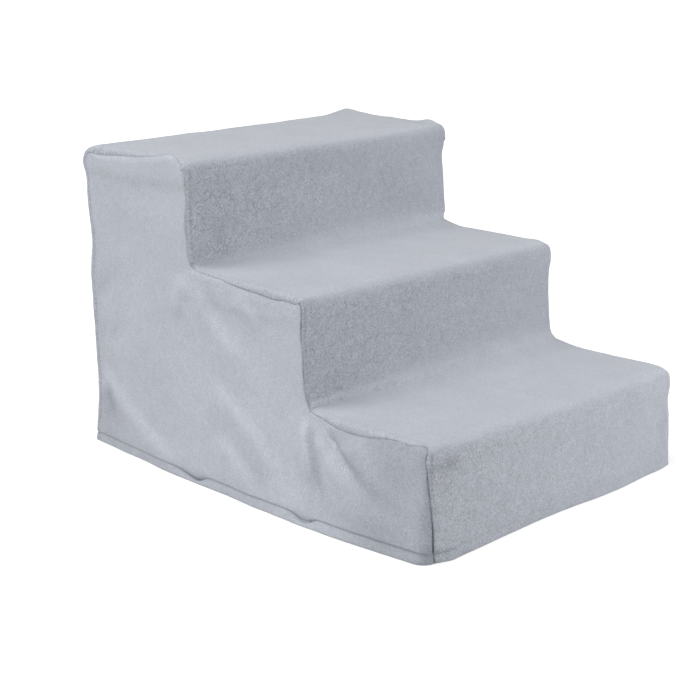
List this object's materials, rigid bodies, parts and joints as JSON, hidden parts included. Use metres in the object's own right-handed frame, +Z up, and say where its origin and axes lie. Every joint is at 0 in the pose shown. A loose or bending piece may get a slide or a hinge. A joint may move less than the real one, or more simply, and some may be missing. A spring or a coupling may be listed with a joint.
{
  "type": "pet stairs",
  "caption": "Stepped pet stairs: hollow snap-together moulded frame on rubber feet under a loose fleece cover that lifts off, with a stitched hem at the floor.",
  "frame": {"origin": "on the floor, under the middle of the stairs' outline", "axes": "+Z up; +Y from the lowest step at the front to the high back; X across the treads"},
  "size_m": [0.3958, 0.4751, 0.3068],
  "materials": {
    "fleece": "short-pile brushed polyester fleece, pale blue-grey",
    "frame_plastic": "injection-moulded polypropylene, fine satin texture",
    "foot_rubber": "soft moulded rubber, matt"
  },
  "bodies": {
    "frame": {"tread_low": "frame_plastic", "tread_middle": "frame_plastic", "tread_top": "frame_plastic", "front_panel": "frame_plastic", "riser_panel_middle": "frame_plastic", "riser_panel_top": "frame_plastic", "back_panel": "frame_plastic", "side_panel_low_left": "frame_plastic", "side_panel_low_right": "frame_plastic", "side_panel_middle_left": "frame_plastic", "side_panel_middle_right": "frame_plastic", "side_panel_top_left": "frame_plastic", "side_panel_top_right": "frame_plastic", "rubber_feet": "foot_rubber"},
    "cover": {"cover_centre_strip": "fleece", "cover_side_left": "fleece", "cover_side_right": "fleece"}
  },
  "joints": [
    {"name": "cover_lift", "type": "slide", "parent": "frame", "child": "cover", "axis": [0, 0, 1], "range_m": [0, 0.33]}
  ]
}
